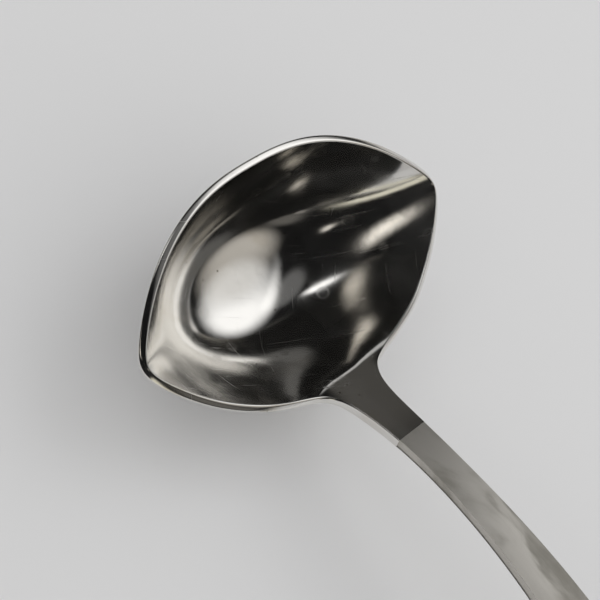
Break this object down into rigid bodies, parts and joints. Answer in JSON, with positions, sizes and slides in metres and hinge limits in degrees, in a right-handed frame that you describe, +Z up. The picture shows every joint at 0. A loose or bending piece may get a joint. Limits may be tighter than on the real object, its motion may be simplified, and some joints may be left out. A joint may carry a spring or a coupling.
{
  "type": "sauce ladle",
  "caption": "Polished metal sauce ladle: oval bowl with a pointed pouring lip on each side, and an arched handle that widens to a round end.",
  "frame": {"origin": "centre of the small flat under the bowl, on the table the ladle lies on", "axes": "+X from the bowl towards the handle's end, +Y towards one lip, +Z up from the table, with the ladle resting on the bowl's flat and the handle's end"},
  "size_m": [0.1693, 0.083, 0.0323],
  "materials": {
    "polished_bowl": "polished, with fine wipe scratches and dried water spots",
    "seam_solder": "dressed flush and polished",
    "satin_handle": "soft polish with lengthwise wear"
  },
  "bodies": {
    "root": {"bowl": "polished_bowl", "neck_solder": "seam_solder", "handle": "satin_handle"}
  },
  "joints": []
}
